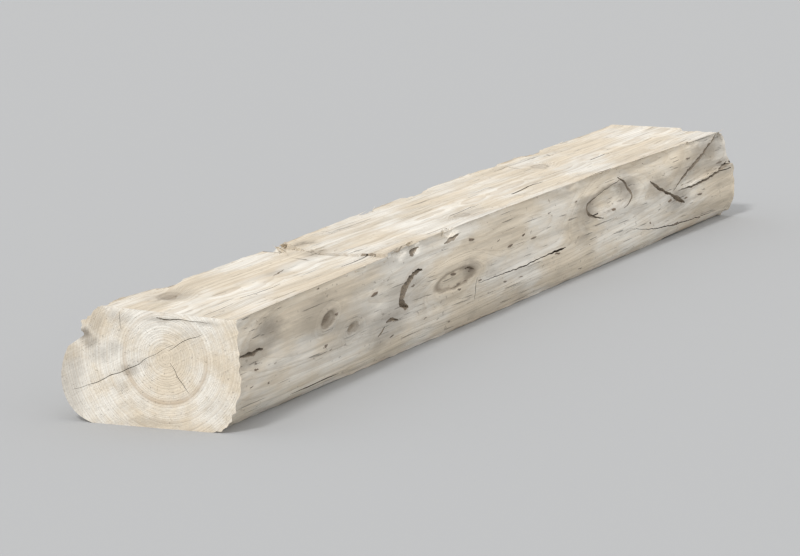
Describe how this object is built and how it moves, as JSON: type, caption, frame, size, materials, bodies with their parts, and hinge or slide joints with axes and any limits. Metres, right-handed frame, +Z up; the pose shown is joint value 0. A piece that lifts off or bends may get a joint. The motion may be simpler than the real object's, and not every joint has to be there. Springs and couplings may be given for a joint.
{
  "type": "railway sleeper",
  "caption": "Peeled softwood log sawn square at both ends and hewn flat above and below, to lie across a track and carry its rails.",
  "frame": {"origin": "middle of the base, on the level that it rests on", "axes": "+X along the sleeper towards its far end, +Y across it to the side with the seam, +Z up out of the wider hewn face"},
  "size_m": [2.438, 0.3262, 0.186],
  "materials": {
    "wood": "dry peeled softwood, hewn faces above and below, sawn ends, bleached by the sun"
  },
  "bodies": {
    "root": {"sleeper": "wood"}
  },
  "joints": []
}
